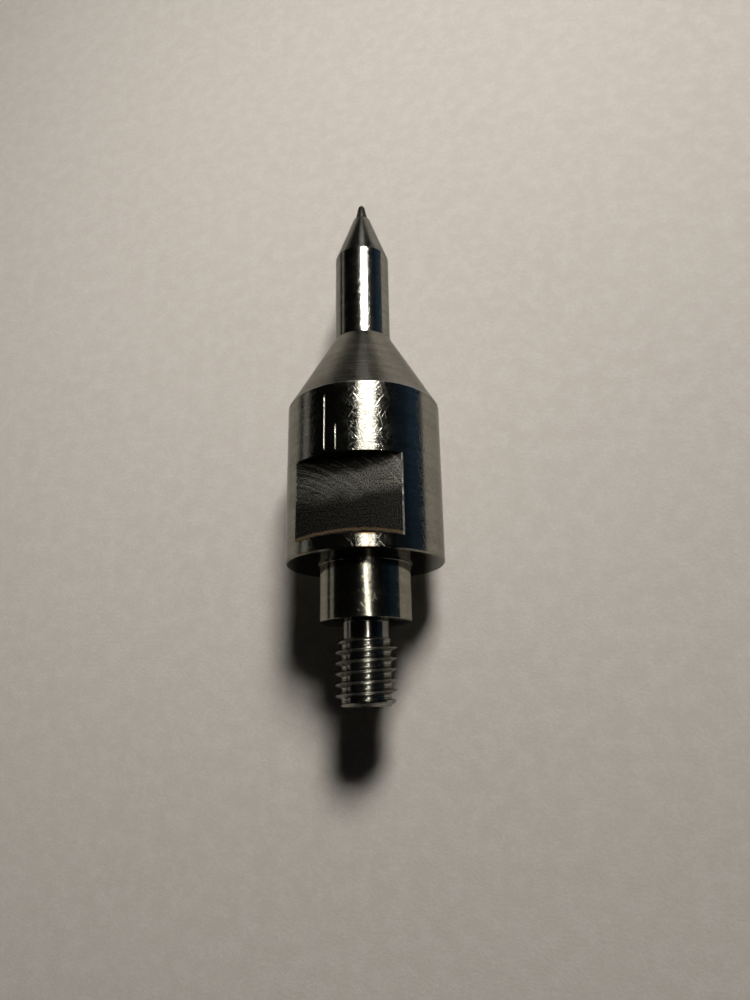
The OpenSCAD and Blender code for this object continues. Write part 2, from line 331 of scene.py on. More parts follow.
def group_blotches():
    """Soft patches, as of handling marks, oil or dull spots, and tiny pits."""
    sheet, given, out = new_group(
        "blotches", {"Point": (0.0, 0.0, 0.0), "Size": 2.0, "Share": 0.5},
        {"Patches": VALUE, "Pits": VALUE},
    )
    scale = sheet.sum("DIVIDE", 1.0, given["Size"])
    patches = sheet.noise(given["Point"], scale=scale, detail=5.0, roughness=0.62)
    bar = sheet.sum("MULTIPLY_ADD", given["Share"], -0.5, 0.75)
    sheet.put(
        sheet.between(patches, sheet.sum("SUBTRACT", bar, 0.16), sheet.sum("ADD", bar, 0.12)),
        out["Patches"],
    )
    pits = sheet.add(
        "ShaderNodeTexVoronoi", {"Vector": given["Point"], "Scale": 3.2, "Randomness": 1.0}
    ).outputs["Distance"]
    sheet.put(sheet.between(pits, 0.03, 0.10, 1.0, 0.0), out["Pits"])


def group_edge_line():
    """A ragged thin line where the piece's length or radius passes a given place."""
    sheet, given, out = new_group(
        "edge_line",
        {"Point": (0.0, 0.0, 0.0), "Measure": 0.0, "Place": 0.0, "Width": 0.1, "Ragged": 0.06},
        {"Line": VALUE},
    )
    waver = sheet.noise(given["Point"], scale=1.7, detail=6.0, roughness=0.75)
    waver = sheet.sum("MULTIPLY", sheet.sum("SUBTRACT", waver, 0.5), given["Ragged"])
    off = sheet.sum("SUBTRACT", sheet.sum("ADD", given["Measure"], waver), given["Place"])
    half = sheet.sum("MULTIPLY", given["Width"], 0.5)
    line = sheet.between(sheet.sum("ABSOLUTE", off), sheet.sum("MULTIPLY", half, 0.4), half, 1.0, 0.0)
    sheet.put(line, out["Line"])


def group_edge_of_flat():
    """How far, in millimetres, a point stands above a spanner flat or below the other one."""
    sheet, given, out = new_group("edge_of_flat", {"Point": (0.0, 0.0, 0.0)}, {"Over": VALUE})
    split = sheet.add("ShaderNodeSeparateXYZ", {0: given["Point"]}).outputs
    sheet.put(sheet.sum("SUBTRACT", sheet.sum("ABSOLUTE", split[2]), FLAT_Z), out["Over"])


def group_long_ding():
    """A narrow ding that runs along the axis between two places, a little ragged."""
    sheet, given, out = new_group(
        "long_ding", {"Unrolled": (0.0, 0.0, 0.0), "Around": 0.0, "Rear": 0.0, "Front": 1.0},
        {"Ding": VALUE},
    )
    waver = sheet.noise(given["Unrolled"], scale=2.3, detail=4.0, roughness=0.7)
    waver = sheet.sum("MULTIPLY_ADD", waver, 0.14, -0.07)
    split = sheet.add("ShaderNodeSeparateXYZ", {0: given["Unrolled"]}).outputs
    round_place = sheet.sum("ADD", split[0], waver)
    off = sheet.sum("ABSOLUTE", sheet.sum("SUBTRACT", round_place, given["Around"]))
    across = sheet.between(off, 0.02, 0.075, 1.0, 0.0)
    from_rear = sheet.between(sheet.sum("SUBTRACT", split[1], given["Rear"]), 0.0, 0.5)
    to_front = sheet.between(sheet.sum("SUBTRACT", given["Front"], split[1]), 0.0, 1.2)
    sheet.put(many(sheet, "MULTIPLY", (across, from_rear, to_front)), out["Ding"])


def many(sheet, operation, values):
    """One operation over several values in turn."""
    total = values[0]
    for value in values[1:]:
        total = sheet.sum(operation, total, value)
    return total


for build in (group_place, group_turned_lines, group_scratches, group_blotches, group_edge_line,
              group_edge_of_flat, group_long_ding):
    build()


def new_finish(name, metallic=1.0, **settings):
    """A material, its node sheet and its shader. settings are sockets that stay the same all over."""
    finish = bpy.data.materials.new(name)
    finish.use_nodes = True
    tree = finish.node_tree
    shader = tree.nodes["Principled BSDF"]
    shader.inputs["Metallic"].default_value = metallic
    for key, value in settings.items():
        shader.inputs[key.replace("_", " ")].default_value = value
    return finish, Sheet(tree), shader


def dent(sheet, shader, height, deep, before=None):
    """Lets a height pattern, deep in millimetres, tilt the surface."""
    made = sheet.add(
        "ShaderNodeBump", {"Height": height, "Distance": deep * MM, "Strength": 1.0}
    )
    if before is not None:
        sheet.put(before, made.inputs["Normal"])
    sheet.put(made.outputs[0], shader.inputs["Normal"])
    return made.outputs[0]


def grey(level, warm=1.0):
    """A steel colour: level is its brightness, warm above 1 leans it to yellow."""
    return (level * warm, level, level / warm ** 5, 1.0)


# ---- finishes of the outside ----

RUST = (0.20, 0.13, 0.06, 1.0)
GRAIN_PER_MM = (3.5, 9.0, 3.5)        # grain is drawn out round the piece
LONG_GRAIN_PER_MM = (8.0, 0.22, 0.0)  # on the unrolled skin: round, along
# every next direction of scratches is spaced a little wider and a little longer
SCRATCH_SPACING, SPACING_STEP = 0.085, 0.022
SCRATCH_LENGTH, LENGTH_STEP = 0.6, 0.3
SCRATCH_SEED_STEP = 3.7
SCRATCH_DEPTH = 0.0045
DING_DEPTH = 0.03
GLANCE_TINT = (0.6, 0.6, 0.6, 1.0)    # ground steel mirrors less than all at a glancing angle


def ground_finish(name, level, rough, lines, line_depth, scratch_angles, scratch_share,
                  warm=1.02, lengthwise=0.0, edges=(), dings=()):
    """Turned or ground steel: rings, lengthwise waver, crossing hair scratches, dull patches, pits,
    ragged edge lines as (place along the axis, width, colour, whether only above the flats' level)
    and long narrow dings as (place round the piece, rear end, front end)."""
    finish, sheet, shader = new_finish(name, Specular_Tint=GLANCE_TINT)
    place = sheet.group("place_on_turned_piece")
    rings = sheet.group("turned_lines", Point=place["Point"], Lines=lines)
    hairs = []
    for i, angle in enumerate(scratch_angles):
        hairs.append(sheet.group(
            "hair_scratches", Unrolled=place["Unrolled"], Angle=angle, Share=scratch_share,
            Spacing=SCRATCH_SPACING + SPACING_STEP * i, Length=SCRATCH_LENGTH + LENGTH_STEP * i,
            Seed=SCRATCH_SEED_STEP * i,
        )["Scratches"])
    scratched = many(sheet, "MAXIMUM", hairs)
    patches = sheet.group("blotches", Point=place["Point"], Size=1.6)
    stretched = sheet.vector("MULTIPLY", place["Point"], GRAIN_PER_MM)
    grain = sheet.between(sheet.noise(stretched, detail=4.0, roughness=0.7), 0.32, 0.66)
    light = sheet.sum("MULTIPLY_ADD", rings["Streaks"], 0.3, sheet.sum("MULTIPLY", grain, 0.7))
    colour = sheet.colours(light, grey(level * 0.5, warm), grey(level * 1.14, warm))
    dull = sheet.sum("MULTIPLY", patches["Patches"], 0.14)
    colour = sheet.colours(dull, colour, grey(level * 0.55, warm * 1.04))
    colour = sheet.colours(sheet.sum("MULTIPLY", scratched, 0.12), colour, grey(level * 0.5, warm))
    over_flat = sheet.between(sheet.group("edge_of_flat", Point=place["Point"])["Over"], 0.1, 0.5)
    for where, width, line_colour, only_flat in edges:
        line = sheet.group(
            "edge_line", Point=place["Point"], Measure=place["Along"], Place=where, Width=width,
        )["Line"]
        if only_flat:
            line = sheet.sum("MULTIPLY", line, over_flat)
        colour = sheet.colours(line, colour, line_colour)
    rougher = sheet.sum("MULTIPLY_ADD", scratched, 0.05, rough)
    rougher = sheet.sum("MULTIPLY_ADD", light, 0.03, rougher)
    rougher = sheet.sum("MULTIPLY_ADD", patches["Patches"], 0.03, rougher)
    sheet.put(rougher, shader.inputs["Roughness"])
    normal = dent(sheet, shader, rings["Height"], line_depth)
    if lengthwise:
        long_grain = sheet.vector("MULTIPLY", place["Unrolled"], LONG_GRAIN_PER_MM)
        normal = dent(sheet, shader, sheet.noise(long_grain, detail=4.0, roughness=0.7),
                      lengthwise, normal)
    marks = sheet.sum("MULTIPLY_ADD", patches["Pits"], -0.4, sheet.sum("MULTIPLY", scratched, -0.7))
    normal = dent(sheet, shader, marks, SCRATCH_DEPTH, normal)
    for around, rear, front in dings:
        ding = sheet.group(
            "long_ding", Unrolled=place["Unrolled"], Around=around, Rear=rear, Front=front,
        )["Ding"]
        colour = sheet.colours(ding, colour, grey(0.8, warm))
        normal = dent(sheet, shader, sheet.sum("SUBTRACT", 0.0, ding), DING_DEPTH, normal)
    sheet.put(colour, shader.inputs["Base Color"])
    return finish


def milled_finish():
    """The spanner flats: curved marks of an end mill, dull and dark, with a rusty rear edge, a painted
    sheen across the middle that is lighter towards +X, and a painted shadow of the front step at the
    front end.
    """
    finish, sheet, shader = new_finish("milled_flat")
    place = sheet.group("place_on_turned_piece")
    split = sheet.add("ShaderNodeSeparateXYZ", {0: place["Point"]}).outputs
    arcs = []
    for centre in ((-7.5, -3.0), (9.0, -6.0)):
        shifted = sheet.vector("SUBTRACT", place["Point"], (centre[0], centre[1], 0.0))
        flat = sheet.vector("MULTIPLY", shifted, (1.0, 1.0, 0.0))
        far = sheet.add("ShaderNodeVectorMath", {0: flat}, operation="LENGTH").outputs["Value"]
        swing = sheet.vector("MULTIPLY", place["Point"], (0.12, 0.12, 0.12))
        arcs.append(sheet.noise(
            sheet.vector("ADD", sheet.xyz(sheet.sum("MULTIPLY", far, 3.0)), swing),
            detail=3.0, roughness=0.65,
        ))
    swept = sheet.sum("MULTIPLY_ADD", arcs[1], 0.2, arcs[0])
    grain = sheet.noise(sheet.vector("MULTIPLY", place["Point"], (11.0, 6.5, 11.0)), detail=4.0,
                        roughness=0.7)
    ripples = sheet.noise(sheet.vector("MULTIPLY", place["Point"], (0.5, 4.8, 0.5)), detail=1.0)
    cloud = sheet.noise(place["Point"], scale=0.5, detail=4.0)
    # Painted sheen and shadow: the flat is drawn lighter from a ragged line some 5 to 7 mm along the
    # axis, more so towards +X, and darker again over the last mm or two before the front step, where
    # the step's shadow is painted. The mill arcs are drawn lighter only from the sheen's rear edge on.
    rise = sheet.sum("MULTIPLY_ADD", split[0], 0.09, sheet.sum("MULTIPLY", cloud, 1.6))
    level = sheet.sum("SUBTRACT", place["Along"], rise)
    sheen_from_rear = sheet.between(level, 3.9, 5.9)
    painted_step_shadow = sheet.between(level, 6.7, 7.8, 1.0, 0.2)
    sheen_to_right = sheet.between(split[0], -6.0, 1.0, 0.55, 1.1)
    painted_sheen = many(sheet, "MULTIPLY", (sheen_from_rear, painted_step_shadow, sheen_to_right))
    colour = sheet.colours(painted_sheen, grey(0.045, 1.03), grey(0.22, 1.03))
    hatch = sheet.sum("MULTIPLY", sheet.between(swept, 0.60, 0.72), sheet.between(level, 4.4, 6.0))
    colour = sheet.colours(sheet.sum("MULTIPLY", hatch, 0.8), colour, grey(0.34, 1.02))
    speckle = sheet.between(grain, 0.36, 0.66, 0.2, 1.9)
    colour = sheet.vector("MULTIPLY", colour, speckle)
    steps = sheet.between(ripples, 0.65, 0.70)
    colour = sheet.colours(sheet.sum("MULTIPLY", steps, 0.7), colour, grey(0.03))
    arch = sheet.sum("SUBTRACT", HOUSING_R ** 2, sheet.sum("MULTIPLY", split[0], split[0]))
    rim_height = sheet.sum("SUBTRACT", sheet.sum("SQRT", arch), FLAT_Z)
    from_rim = sheet.sum("MULTIPLY_ADD", rim_height, -0.36, place["Along"])
    rust = sheet.group(
        "edge_line", Point=place["Point"], Measure=from_rim, Place=FLAT_FROM + 0.16,
        Width=0.42, Ragged=0.5,
    )["Line"]
    colour = sheet.colours(sheet.sum("MULTIPLY", rust, 0.55), colour, RUST)
    sheet.put(colour, shader.inputs["Base Color"])
    sheet.put(sheet.between(grain, 0.3, 0.7, 0.22, 0.38), shader.inputs["Roughness"])
    sheet.put(sheet.sum("SUBTRACT", 1.0, sheet.sum("MULTIPLY", rust, 0.5)), shader.inputs["Metallic"])
    cut = dent(sheet, shader, swept, 0.008)
    cut = dent(sheet, shader, ripples, 0.006, cut)
    dent(sheet, shader, grain, 0.0040, cut)
    return finish


housing_round = ground_finish(
    "housing_ground_steel", level=0.36, rough=0.075, lines=9.0, line_depth=0.0007,
    scratch_angles=(0.03, 0.85, -0.95, 1.3), scratch_share=0.55, warm=1.025, lengthwise=0.0004,
    edges=((REAR_BEVEL, 0.10, RUST, True), (FLAT_FROM - 0.03, 0.16, RUST, True)),
    dings=((-1.89, 9.5, 16.0), (-0.69, 9.5, 12.7)),
)
housing_cone = ground_finish(
    "housing_cone_steel", level=0.32, rough=0.17, lines=9.0, line_depth=0.0085,
    scratch_angles=(1.2, -0.7), scratch_share=0.3, warm=1.025,
    edges=((CONE_AT + 0.03, 0.10, grey(0.6), False),),
)
# The rear face's low level is painted shade: its steel is drawn darker than the rest of the housing
# for the shade between the rim and the register.
housing_rear = ground_finish(
    "housing_rear_face", level=0.13, rough=0.13, lines=3.0, line_depth=0.0015,
    scratch_angles=(0.4,), scratch_share=0.4, warm=1.03,
)
housing_bore = ground_finish(
    "housing_bores", level=0.45, rough=0.30, lines=8.0, line_depth=0.004,
    scratch_angles=(0.9,), scratch_share=0.2,
)
housing_flat = milled_finish()
burr = ground_finish(
    "burred_steel", level=0.85, rough=0.34, lines=6.0, line_depth=0.004,
    scratch_angles=(0.6, 1.5), scratch_share=0.5, warm=1.01,
)
spindle_round = ground_finish(
    "spindle_ground_steel", level=0.34, rough=0.11, lines=14.0, line_depth=0.0002,
    scratch_angles=(0.9, -1.1), scratch_share=0.40, lengthwise=0.0003,
)
spindle_cone = ground_finish(
    "spindle_cone_steel", level=0.31, rough=0.17, lines=9.0, line_depth=0.0040,
    scratch_angles=(1.3,), scratch_share=0.3, warm=1.015,
)
shank_round = ground_finish(
    "register_ground_steel", level=0.34, rough=0.10, lines=12.0, line_depth=0.0006,
    scratch_angles=(0.8, -1.0), scratch_share=0.30, warm=1.04, lengthwise=0.0003,
)
shank_relief = ground_finish(
    "relief_steel", level=0.25, rough=0.11, lines=6.0, line_depth=0.0008,
    scratch_angles=(0.8,), scratch_share=0.2,
)
crest = ground_finish(
    "thread_crest_steel", level=0.42, rough=0.26, lines=6.0, line_depth=0.003,
    scratch_angles=(0.6,), scratch_share=0.4, warm=1.015,
)
thread_steel = ground_finish(
    "thread_steel", level=0.36, rough=0.15, lines=10.0, line_depth=0.0010,
    scratch_angles=(0.2, 1.2), scratch_share=0.3, warm=1.02,
)


def carbide_finish():
    """Ground carbide: near black, finely grained, with grinding rings."""
    finish, sheet, shader = new_finish("ground_carbide", metallic=0.9)
    place = sheet.group("place_on_turned_piece")
    rings = sheet.group("turned_lines", Point=place["Point"], Lines=16.0)
    grain = sheet.noise(place["Point"], scale=18.0, detail=3.0)
    colour = sheet.colours(rings["Streaks"], grey(0.03, 1.03), grey(0.06, 1.03))
    colour = sheet.colours(sheet.between(grain, 0.55, 0.8), colour, grey(0.12))
    sheet.put(colour, shader.inputs["Base Color"])
    sheet.put(sheet.between(grain, 0.3, 0.7, 0.28, 0.42), shader.inputs["Roughness"])
    ringed = dent(sheet, shader, rings["Height"], 0.004)
    dent(sheet, shader, grain, 0.002, ringed)
    return finish


carbide = carbide_finish()


# ---- housing ----

def housing_outline():
    """The housing's outline as (r, y, finish): rear face, outside, nose, then back down the bores."""
    round_, cone, rear, bore = 0, 1, 2, 3
    return broken([
        (PLUG_R, REAR_FACE, rear, 0),
        (HOUSING_R - REAR_BEVEL, REAR_FACE, round_, 0),
        (HOUSING_R, REAR_FACE + REAR_BEVEL, round_, 0),
        (HOUSING_R, CONE_AT, cone, 0.06),
        (NOSE_R, NOSE_AT, cone, 0.03),
        (NOSE_BORE_R, NOSE_AT, bore, 0),
        (NOSE_BORE_R, SEAL_END, bore, 0),
        (SEAL_R, SEAL_END, bore, 0),
        (SEAL_R, SEAL_AT, bore, 0),
        (SHOULDER_R, SEAL_AT, bore, 0),
        (SHOULDER_R, SHOULDER_AT, bore, 0),
        (BEARING_R, SHOULDER_AT, bore, 0),
        (BEARING_R, PLUG_END, bore, 0),
        (PLUG_R, PLUG_END, bore, 0),
        (PLUG_R, REAR_FACE, bore, 0),
    ])


def past_flat_edge(turn):
    """How far round a place is past the edge of the nearer flat. It is negative on the flat."""
    return math.acos(min(1, abs(math.cos(turn)))) - FLAT_EDGE


def on_burred_edge(turn):
    """Each flat has one clearly burred long edge. On the other one the burr is faint."""
    return math.sin(turn) * math.cos(turn) > 0


def burr_height(turn, y):
    """How far the burr along a flat's edge stands up at that place."""
    off_edge = abs(past_flat_edge(turn))
    if off_edge >= 0.9 * LIP_TURN:
        return 0.0
    strength = 1.0 if on_burred_edge(turn) else 0.3
    coarse = noise.noise(Vector((strength, y * 1.7, 4.0)))
    fine = noise.noise(Vector((strength, y * 6.0, 9.0)))
    ragged = 0.4 + 1.2 * coarse + 1.1 * fine
    fade = min(1, (y - FLAT_FROM) / LIP_FADE, (FLAT_TO - y) / LIP_FADE)
    return LIP_HEIGHT * strength * max(0.0, ragged) * fade * (1 - off_edge / LIP_TURN)


def housing_turns():
    """Even steps round the housing, with closer ones across the flats' edges."""
    turns = set(even_turns(HOUSING_SIDES))
    for middle in (0.0, math.pi):
        for side in (-1, 1):
            for off in (-1.0, -0.4, 0.0, 0.4, 1.0):
                turns.add((middle + side * (FLAT_EDGE + off * LIP_TURN)) % (2 * math.pi))
    return sorted(turns)


def make_housing():
    round_, flat, lip = 0, 4, 5
    outline = housing_outline()
    start = next(i for i, row in enumerate(outline) if row[0] == HOUSING_R)
    # a row is (r, y, finish, cut by the flats), and the rows at the flats' ends are doubled
    rows = [(r, y, kind, False) for r, y, kind in outline[:start]]
    rows.append((HOUSING_R, outline[start][1], round_, False))
    rows.append((HOUSING_R, FLAT_FROM, round_, False))
    for i in range(FLAT_ROWS + 1):
        y = FLAT_FROM + (FLAT_TO - FLAT_FROM) * i / FLAT_ROWS
        rows.append((HOUSING_R, y, flat if i < FLAT_ROWS else round_, True))
    rows.append((HOUSING_R, FLAT_TO, round_, False))
    rows += [(r, y, kind, False) for r, y, kind in outline[start + 1:]]
    turns = housing_turns()

    def place(row, turn):
        r, y, _, cut = row
        if cut:
            r = min(r, FLAT_Z / max(abs(math.cos(turn)), 0.01))
            r += burr_height(turn, y)
        return round_spot(r, y, turn)

    points, faces = wrap(rows, turns, place)
    kinds = []
    for row in rows[:-1]:
        for turn, next_turn in zip(turns, turns[1:] + [2 * math.pi]):
            middle = (turn + next_turn) / 2
            past_edge = past_flat_edge(middle)
            kind = row[2]
            if kind == flat and on_burred_edge(middle) and abs(past_edge) < LIP_TURN:
                kind = lip
            elif kind == flat and past_edge > 0:
                kind = round_
            kinds.append(kind)
    finishes = [housing_round, housing_cone, housing_rear, housing_bore, housing_flat, burr]
    piece = join_up("live_centre_housing", points, faces, kinds, finishes)
    stands_for(piece, "housing", "housing_body")


# ---- spindle and carbide point ----

def make_spindle():
    straight, cone = 0, 1
    outline = broken([
        (0, SPINDLE_TAIL, straight, 0),
        (TAIL_R, SPINDLE_TAIL, straight, 0.12),
        (TAIL_R, COLLAR_AT, straight, 0),
        (JOURNAL_R, COLLAR_AT, straight),
        (JOURNAL_R, CLIP_AT, straight, 0),
        (CLIP_GROOVE_R, CLIP_AT, straight, 0),
        (CLIP_GROOVE_R, REAR_BEARING_AT, straight, 0),
        (JOURNAL_R, REAR_BEARING_AT, straight, 0),
        (JOURNAL_R, SHOULDER_AT, straight, 0),
        (SPINDLE_R, SHOULDER_AT, straight),
        (SPINDLE_R, POINT_FROM, cone, 0.04),
        (POINT_FACE_R, POINT_FACE_AT, cone, 0.05),
        (CARBIDE_R, POINT_FACE_AT, straight, 0),
        (CARBIDE_R, CARBIDE_REAR, straight, 0),
        (0, CARBIDE_REAR, straight, 0),
    ])
    piece = turned_piece("live_centre_spindle", outline, [spindle_round, spindle_cone])
    stands_for(piece, "spindle", "spindle_body")


def make_carbide_tip():
    centre = CARBIDE_END - CARBIDE_ROUND_R
    length = centre - POINT_FACE_AT
    lean = math.atan(CARBIDE_R / length) - math.asin(CARBIDE_ROUND_R / math.hypot(length, CARBIDE_R))
    outline = [
        (0, CARBIDE_REAR, 0), (CARBIDE_R, CARBIDE_REAR, 0), (CARBIDE_R, POINT_FACE_AT, 0),
    ]
    steps = 10
    for i in range(steps + 1):
        turn = lean + (math.pi / 2 - lean) * i / steps
        r = CARBIDE_ROUND_R * math.cos(turn)
        outline.append((r, centre + CARBIDE_ROUND_R * math.sin(turn), 0))
    piece = turned_piece("carbide_point", outline, [carbide], sides=128)
    stands_for(piece, "carbide_tip", "spindle_body")


# ---- mounting shank ----

def thread_tooth():
    """One tooth of the thread as (share of the pitch, share of the depth): a wide root with a
    faint ridge where two passes of the tool met, straight flanks and a narrow rounded crest."""
    return [
        (0.00, 0.00), (0.04, 0.00), (0.08, 0.05), (0.12, 0.00), (0.17, 0.01), (0.20, 0.06),
        (0.33, 0.50), (0.445, 0.90), (0.462, 0.97), (0.48, 1.00), (0.51, 1.00), (0.528, 0.97),
        (0.545, 0.90), (0.66, 0.50), (0.79, 0.06), (0.82, 0.01), (0.86, 0.00),
    ]


def crest_wear(turn, y):
    """How far the thread's crest is nicked and worn down at that place."""
    chip = noise.noise(Vector((math.sin(turn) * 4, y * 1.7, math.cos(turn) * 4)))
    nick_depth, nick_from, wear = 0.10, 0.28, 0.012
    return nick_depth * max(0.0, chip - nick_from) + wear * (chip + 0.5)


def make_shank():
    plain, relief, thread, top = 0, 1, 2, 3
    sides = SHANK_SIDES
    tooth = thread_tooth()
    per_turn = len(tooth)
    turns_long = math.ceil((THREAD_FROM - STUD_END) / THREAD_PITCH) + 2
    end_r = THREAD_CORE_R - STUD_END_STEP
    points = []
    faces = []
    kinds = []

    def thread_point(i, k):
        share, depth = tooth[k % per_turn]
        along = k // per_turn + share + i / sides - 1 - THREAD_PHASE
        y = THREAD_FROM - THREAD_PITCH * along
        y = max(STUD_END, min(THREAD_FROM, y))
        turn = 2 * math.pi * i / sides
        r = THREAD_CORE_R + depth * (THREAD_R - THREAD_CORE_R)
        if depth > WORN_FROM:
            r -= crest_wear(turn, y)
        r = min(r, THREAD_CORE_R + THREAD_FROM - y, end_r + y - STUD_END)
        return round_spot(max(r, 0.1), y, -turn)

    rows = turns_long * per_turn
    for i in range(sides + 1):
        for k in range(rows + 1):
            points.append(thread_point(i, k) if i < sides else thread_point(0, k + per_turn))
    step = rows + 1
    for i in range(sides):
        for k in range(rows):
            a = i * step + k
            faces.append((a, a + 1, a + step + 1, a + step))
            kinds.append(top if tooth[k % per_turn][1] >= CREST_FROM else thread)

    def add_rings(outline):
        turns = [-2 * math.pi * i / sides for i in range(sides)]
        start = len(points)
        more, skins = wrap(outline, turns, lambda row, turn: round_spot(row[0], row[1], turn))
        points.extend(more)
        faces.extend(tuple(v + start for v in face) for face in skins)
        kinds.extend(row[2] for row in outline[:-1] for _ in turns)

    add_rings(broken([
        (THREAD_CORE_R, THREAD_FROM, relief, 0),
        (RELIEF_R, THREAD_FROM, relief, 0),
        (RELIEF_R, REGISTER_END, relief, 0.12),
        (REGISTER_R, REGISTER_END, plain, 0.15),
        (REGISTER_R, RIM_AT, plain, 0),
        (PLUG_R, RIM_AT, plain, 0.05),
        (PLUG_R, PLUG_END, plain),
        (0, PLUG_END, plain, 0),
    ]))
    mouth_r = 2 * CENTRE_HOLE_R
    mouth_end = STUD_END + (mouth_r - CENTRE_HOLE_R) / math.tan(math.radians(30))
    add_rings([
        (0, STUD_END + CENTRE_HOLE_DEPTH, relief),
        (CENTRE_HOLE_R, STUD_END + CENTRE_HOLE_DEPTH, relief),
        (CENTRE_HOLE_R, mouth_end, relief),
        (mouth_r, STUD_END, relief),
        (end_r, STUD_END, relief),
    ])
    piece = join_up("mounting_shank_piece", points, faces, kinds,
                    [shank_round, shank_relief, thread_steel, crest])
    stands_for(piece, "mounting_shank", "housing_body")


make_housing()
make_spindle()
make_carbide_tip()
make_shank()


# ---- finishes of the pieces inside ----

def inner_finish(name, colour, rough, metallic=1.0, lines=8.0, mottle=0.25):
    """A plain machined finish: tool rings and a little mottling in one colour."""
    finish, sheet, shader = new_finish(name, metallic=metallic)
    place = sheet.group("place_on_turned_piece")
    rings = sheet.group("turned_lines", Point=place["Point"], Lines=lines)
    patches = sheet.group("blotches", Point=place["Point"], Size=0.9)
    darker = tuple(c * 0.8 for c in colour) + (1.0,)
    dirty = tuple(c * 0.5 for c in colour) + (1.0,)
    shade = sheet.colours(rings["Streaks"], darker, colour + (1.0,))
    shade = sheet.colours(sheet.sum("MULTIPLY", patches["Patches"], mottle), shade, dirty)
    sheet.put(shade, shader.inputs["Base Color"])
    sheet.put(
        sheet.sum("MULTIPLY_ADD", patches["Patches"], 0.12, rough), shader.inputs["Roughness"]
    )
    dent(sheet, shader, rings["Height"], 0.002)
    return finish


def rubber_finish():
    """Black nitrile with a soft bloom."""
    finish, sheet, shader = new_finish("seal_nitrile", metallic=0.0, IOR=1.5)
    place = sheet.group("place_on_turned_piece")
    patches = sheet.group("blotches", Point=place["Point"], Size=0.5)
    grain = sheet.noise(place["Point"], scale=12.0, detail=4.0)
    colour = sheet.colours(patches["Patches"], (0.012, 0.012, 0.013, 1), (0.035, 0.034, 0.033, 1))
    sheet.put(colour, shader.inputs["Base Color"])
    sheet.put(sheet.between(grain, 0.3, 0.7, 0.5, 0.72), shader.inputs["Roughness"])
    dent(sheet, shader, grain, 0.006)
    return finish


STEEL = (0.56, 0.55, 0.53)
BRASS = (0.72, 0.50, 0.20)
slot_finishes = {
    "seal_rubber": rubber_finish(),
    "bearing_steel": inner_finish("bearing_ring_steel", STEEL, 0.16, lines=14.0),
    "ball_steel": inner_finish("bearing_ball_steel", (0.66, 0.65, 0.64), 0.06, lines=0.6, mottle=0.1),
    "cage_brass": inner_finish("cage_brass_machined", BRASS, 0.26, lines=7.0),
    "shield_steel": inner_finish("shield_pressed_steel", (0.48, 0.48, 0.48), 0.30, lines=4.0),
    "sleeve_steel": inner_finish("sleeve_turned_steel", (0.44, 0.44, 0.45), 0.28, lines=9.0),
    "spring_steel": inner_finish("spring_blued_steel", (0.12, 0.14, 0.19), 0.24, lines=6.0),
    "shim_brass": inner_finish("shim_rolled_brass", (0.76, 0.58, 0.28), 0.20, lines=3.0),
}
WORD_SLOTS = {
    "seal": "seal_rubber",
    "cage": "cage_brass",
    "balls": "ball_steel",
    "shield": "shield_steel",
    "sleeve": "sleeve_steel",
    "shim": "shim_brass",
    "disc_spring": "spring_steel",
    "retaining": "spring_steel",
}
REPLACED = {"housing", "spindle", "carbide_tip", "mounting_shank"}


def slot_of(node_name):
    """The finish slot of a piece inside, from a word in its name. Rings and washers are the rest."""
    return next((slot for word, slot in WORD_SLOTS.items() if word in node_name), "bearing_steel")


for node_name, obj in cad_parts.items():
    if node_name not in REPLACED:
        obj.data.materials.clear()
        obj.data.materials.append(slot_finishes[slot_of(node_name)])


# ---- paper, lights and camera ----

TURN = math.radians(14.7)  # the camera and the lights stand this far round the axis, towards +X
CAMERA_AT = (0, -13.83, 68.63)
CAMERA_AIM = (1.07, 6.87, 0)
CAMERA_ROLL = math.radians(2.19)
round_axis = Matrix.Rotation(TURN, 4, "Y")


def paper_finish():
    """Warm off-white paper with a faint cloudy mottle and fibres."""
    finish, sheet, shader = new_finish("pale_paper", metallic=0.0, IOR=1.35)
    point = sheet.vector(
        "MULTIPLY", sheet.add("ShaderNodeTexCoord").outputs["Object"], (1 / MM,) * 3
    )
    cloud = sheet.noise(point, scale=0.06, detail=4.0)
    mottle = sheet.noise(point, scale=0.5, detail=6.0, roughness=0.75)
    fibre = sheet.noise(point, scale=3.0, detail=4.0, roughness=0.7)
    colour = sheet.colours(cloud, (0.72, 0.665, 0.60, 1), (0.78, 0.725, 0.655, 1))
    colour = sheet.colours(sheet.between(mottle, 0.38, 0.66), colour, (0.815, 0.765, 0.70, 1))
    flecks = sheet.sum("MULTIPLY", sheet.between(fibre, 0.34, 0.62), 0.4)
    colour = sheet.colours(flecks, colour, (0.70, 0.65, 0.59, 1))
    sheet.put(colour, shader.inputs["Base Color"])
    sheet.put(sheet.between(fibre, 0.3, 0.7, 0.82, 0.95), shader.inputs["Roughness"])
    dent(sheet, shader, fibre, 0.04)
    return finish


def make_paper():
    width = 900 * MM
    squares = 24
    grid = bmesh.new()
    bmesh.ops.create_grid(grid, x_segments=squares, y_segments=squares, size=width / 2)
    mesh = bpy.data.meshes.new("paper_sheet")
    grid.to_mesh(mesh)
    grid.free()
    mesh.materials.append(paper_finish())
    paper = bpy.data.objects.new("paper_sheet", mesh)
    paper.location = spot(0, 10, FLOOR_Z)
    bpy.context.scene.collection.objects.link(paper)


def aim(obj, at, target, up="Y"):
    """Stands an object at a place and points it at a target, both in millimetres, then turns it
    round the axis with the camera."""
    look = (spot(*target) - spot(*at)).to_track_quat("-Z", up)
    placed = Matrix.Translation(spot(*at)) @ look.to_matrix().to_4x4()
    obj.matrix_world = round_axis @ placed


